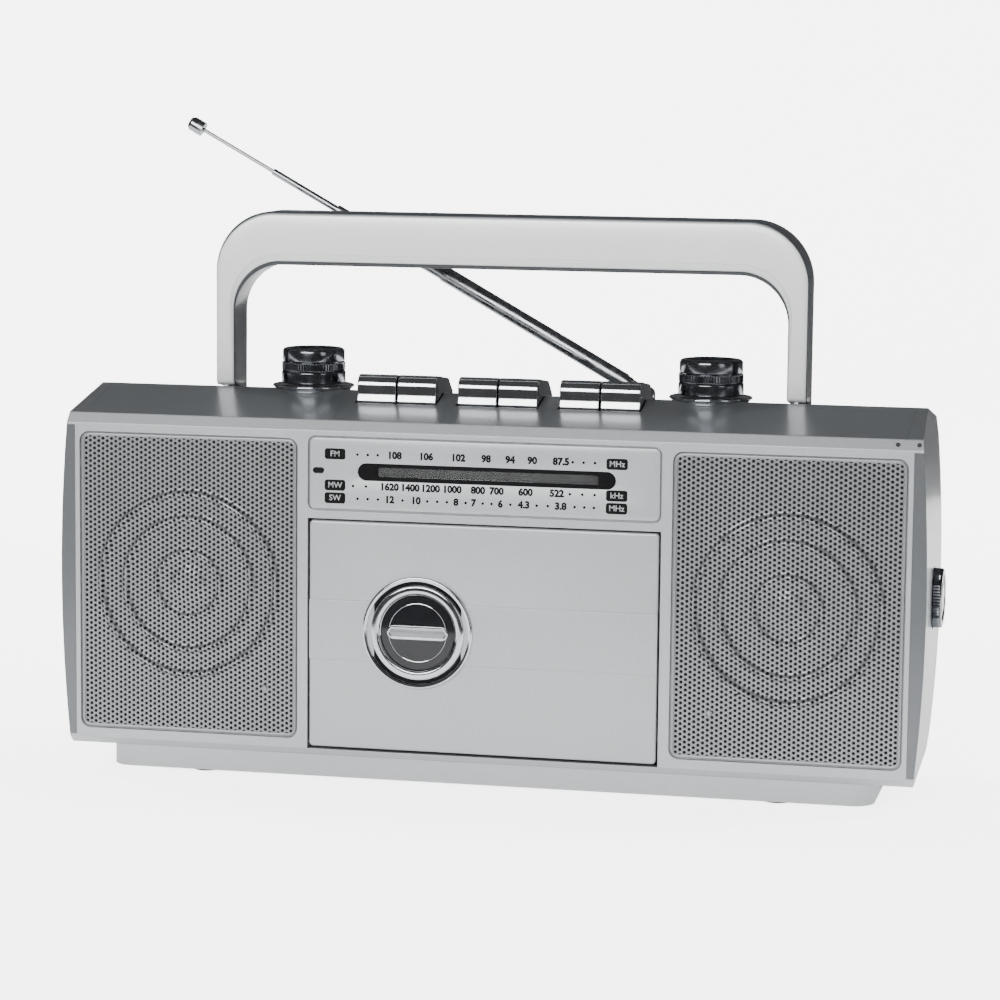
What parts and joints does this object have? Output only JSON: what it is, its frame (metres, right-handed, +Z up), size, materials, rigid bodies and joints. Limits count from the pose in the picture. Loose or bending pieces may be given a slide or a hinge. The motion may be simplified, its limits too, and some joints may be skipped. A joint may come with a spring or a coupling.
{
  "type": "radio cassette recorder",
  "caption": "Portable stereo radio cassette recorder with a bail handle, two round speakers behind perforated grilles, a tape door, piano keys and a telescopic aerial.",
  "frame": {"origin": "middle of the case's width and depth, on the surface that the feet stand on", "axes": "+Z up, -Y towards the listener (the front), +X to the listener's right"},
  "size_m": [0.3585, 0.0912, 0.2675],
  "materials": {
    "silver_lacquer": "silver metallic lacquer over moulded ABS",
    "grey_lacquer": "dark grey metallic lacquer over moulded ABS, glossy",
    "cabinet_plastic": "spark-eroded moulded ABS",
    "grille_steel": "perforated sheet steel, silver paint",
    "pressed_steel": "zinc-plated pressed steel",
    "chromed_plastic": "chrome plating",
    "dark_chrome": "smoked chrome plating",
    "bright_steel": "turned steel",
    "black_rubber": "moulded rubber",
    "cone_paper": "pressed paper pulp",
    "ferrite": "sintered ferrite",
    "clear_lens": "clear moulded acrylic",
    "smoked_lens": "smoked moulded acrylic",
    "black_plastic": "moulded black plastic",
    "white_acetal": "moulded acetal",
    "red_pointer": "moulded red plastic",
    "brass_turned": "turned brass",
    "board_phenolic": "phenolic board with wax and solder",
    "core_steel": "varnished laminations and winding",
    "aerial_chrome": "chromed brass tube"
  },
  "bodies": {
    "cabinet": {"front_bezel": "silver_lacquer", "top_cover": "grey_lacquer", "rear_cabinet": "cabinet_plastic", "end_cap_left": "grey_lacquer", "end_cap_right": "grey_lacquer", "base_tray": "silver_lacquer", "rubber_feet": "black_rubber", "grille_left": "grille_steel", "grille_right": "grille_steel", "speaker_frames": "pressed_steel", "speaker_cones": "cone_paper", "speaker_magnets": "ferrite", "dial_panel": "silver_lacquer", "dial_lens": "clear_lens", "dial_scale": "black_plastic", "deck_chassis": "pressed_steel", "drive_motor": "pressed_steel", "drive_belt": "black_rubber", "key_shaft": "bright_steel", "knob_saucers": "chromed_plastic", "volume_control": "board_phenolic", "band_switch": "board_phenolic", "tuning_capacitor": "white_acetal", "handle_ears": "bright_steel", "main_board": "board_phenolic", "transformer": "core_steel", "ferrite_rod": "ferrite", "mains_inlet": "black_plastic", "headphone_jack": "black_plastic", "microphone": "black_plastic", "battery_contacts": "bright_steel", "case_screws": "bright_steel"},
    "handle": {"carry_handle": "silver_lacquer"},
    "volume": {"volume_knob": "dark_chrome"},
    "band": {"band_knob": "dark_chrome"},
    "tuner": {"tuning_wheel": "dark_chrome"},
    "pointer": {"dial_pointer": "red_pointer"},
    "door": {"cassette_door": "silver_lacquer", "door_ring": "chromed_plastic", "door_window": "smoked_lens", "cassette_holder": "black_plastic"},
    "supply": {"supply_reel": "white_acetal"},
    "take_up": {"take_up_reel": "white_acetal"},
    "capstan": {"flywheel": "bright_steel"},
    "pulley": {"motor_pulley": "brass_turned"},
    "carriage": {"head_carriage": "pressed_steel", "tape_head": "bright_steel"},
    "roller": {"pinch_roller": "black_rubber"},
    "aerial_base": {"aerial_swivel": "aerial_chrome"},
    "aerial_tube_1": {"aerial_lower": "aerial_chrome"},
    "aerial_tube_2": {"aerial_middle": "aerial_chrome"},
    "aerial_tube_3": {"aerial_upper": "aerial_chrome"},
    "aerial_rod": {"aerial_tip": "aerial_chrome"},
    "hatch": {"battery_cover": "cabinet_plastic"},
    "key_record": {"key_record": "chromed_plastic"},
    "key_play": {"key_play": "chromed_plastic"},
    "key_rewind": {"key_rewind": "chromed_plastic"},
    "key_forward": {"key_forward": "chromed_plastic"},
    "key_stop": {"key_stop": "chromed_plastic"},
    "key_pause": {"key_pause": "chromed_plastic"}
  },
  "joints": [
    {"name": "handle_fold", "type": "hinge", "parent": "cabinet", "child": "handle", "pos_m": [0, 0, 0.1611], "axis": [1, 0, 0], "range_deg": [0, 88]},
    {"name": "volume_turn", "type": "hinge", "parent": "cabinet", "child": "volume", "pos_m": [-0.0837, 0.005, 0.165], "axis": [0, 0, -1], "range_deg": [-150, 150]},
    {"name": "band_turn", "type": "hinge", "parent": "cabinet", "child": "band", "pos_m": [0.0837, 0.005, 0.165], "axis": [0, 0, -1], "range_deg": [-45, 45]},
    {"name": "tuning_turn", "type": "hinge", "parent": "cabinet", "child": "tuner", "pos_m": [0.176, 0, 0.08], "axis": [1, 0, 0], "range_deg": [0, 720]},
    {"name": "pointer_slide", "type": "slide", "parent": "cabinet", "child": "pointer", "axis": [1, 0, 0], "range_m": [0, 0.094]},
    {"name": "door_open", "type": "hinge", "parent": "cabinet", "child": "door", "pos_m": [0, -0.0426, 0.0162], "axis": [1, 0, 0], "range_deg": [0, 35]},
    {"name": "supply_spin", "type": "hinge", "parent": "cabinet", "child": "supply", "pos_m": [-0.02585, -0.022, 0.0637], "axis": [0, 1, 0], "continuous": true},
    {"name": "take_up_spin", "type": "hinge", "parent": "cabinet", "child": "take_up", "pos_m": [0.01665, -0.022, 0.0637], "axis": [0, 1, 0], "continuous": true},
    {"name": "capstan_spin", "type": "hinge", "parent": "cabinet", "child": "capstan", "pos_m": [0.03, -0.017, 0.09], "axis": [0, 1, 0], "continuous": true},
    {"name": "pulley_spin", "type": "hinge", "parent": "cabinet", "child": "pulley", "pos_m": [-0.038, -0.017, 0.116], "axis": [0, 1, 0], "continuous": true},
    {"name": "carriage_drop", "type": "slide", "parent": "cabinet", "child": "carriage", "axis": [0, 0, -1], "range_m": [0, 0.005]},
    {"name": "roller_spin", "type": "hinge", "parent": "carriage", "child": "roller", "pos_m": [0.03, -0.032, 0.1029], "axis": [0, 1, 0], "continuous": true},
    {"name": "aerial_turn", "type": "hinge", "parent": "cabinet", "child": "aerial_base", "pos_m": [0.0525, 0.032, 0.15], "axis": [0, 0, 1], "range_deg": [-180, 0]},
    {"name": "aerial_lift", "type": "hinge", "parent": "aerial_base", "child": "aerial_tube_1", "pos_m": [0.0525, 0.032, 0.1552], "axis": [0, 1, 0], "range_deg": [-29, 60]},
    {"name": "aerial_extend_1", "type": "slide", "parent": "aerial_tube_1", "child": "aerial_tube_2", "axis": [-0.8741, 0, 0.4857], "range_m": [-0.027, 0.075]},
    {"name": "aerial_extend_2", "type": "slide", "parent": "aerial_tube_2", "child": "aerial_tube_3", "axis": [-0.8741, 0, 0.4857], "range_m": [-0.031, 0.07]},
    {"name": "aerial_extend_3", "type": "slide", "parent": "aerial_tube_3", "child": "aerial_rod", "axis": [-0.8741, 0, 0.4857], "range_m": [-0.0345, 0.065]},
    {"name": "hatch_open", "type": "hinge", "parent": "cabinet", "child": "hatch", "pos_m": [0, 0.0404, 0.0194], "axis": [-1, 0, 0], "range_deg": [0, 70]},
    {"name": "press_record", "type": "hinge", "parent": "cabinet", "child": "key_record", "pos_m": [0, 0.009, 0.1485], "axis": [1, 0, 0], "range_deg": [0, 8], "stiffness_Nm_per_rad": 0.4, "springref_deg": -11.46},
    {"name": "press_play", "type": "hinge", "parent": "cabinet", "child": "key_play", "pos_m": [0, 0.009, 0.1485], "axis": [1, 0, 0], "range_deg": [0, 8], "stiffness_Nm_per_rad": 0.4, "springref_deg": -11.46},
    {"name": "press_rewind", "type": "hinge", "parent": "cabinet", "child": "key_rewind", "pos_m": [0, 0.009, 0.1485], "axis": [1, 0, 0], "range_deg": [0, 8], "stiffness_Nm_per_rad": 0.4, "springref_deg": -11.46},
    {"name": "press_forward", "type": "hinge", "parent": "cabinet", "child": "key_forward", "pos_m": [0, 0.009, 0.1485], "axis": [1, 0, 0], "range_deg": [0, 8], "stiffness_Nm_per_rad": 0.4, "springref_deg": -11.46},
    {"name": "press_stop", "type": "hinge", "parent": "cabinet", "child": "key_stop", "pos_m": [0, 0.009, 0.1485], "axis": [1, 0, 0], "range_deg": [0, 8], "stiffness_Nm_per_rad": 0.4, "springref_deg": -11.46},
    {"name": "press_pause", "type": "hinge", "parent": "cabinet", "child": "key_pause", "pos_m": [0, 0.009, 0.1485], "axis": [1, 0, 0], "range_deg": [0, 8], "stiffness_Nm_per_rad": 0.4, "springref_deg": -11.46}
  ],
  "couplings": [
    {"joint": "pointer_slide", "follows": "tuning_turn", "m_per_rad": 0.0074803},
    {"joint": "pulley_spin", "follows": "capstan_spin", "ratio": 4.7778},
    {"joint": "carriage_drop", "follows": "press_play", "m_per_rad": 0.035774}
  ]
}
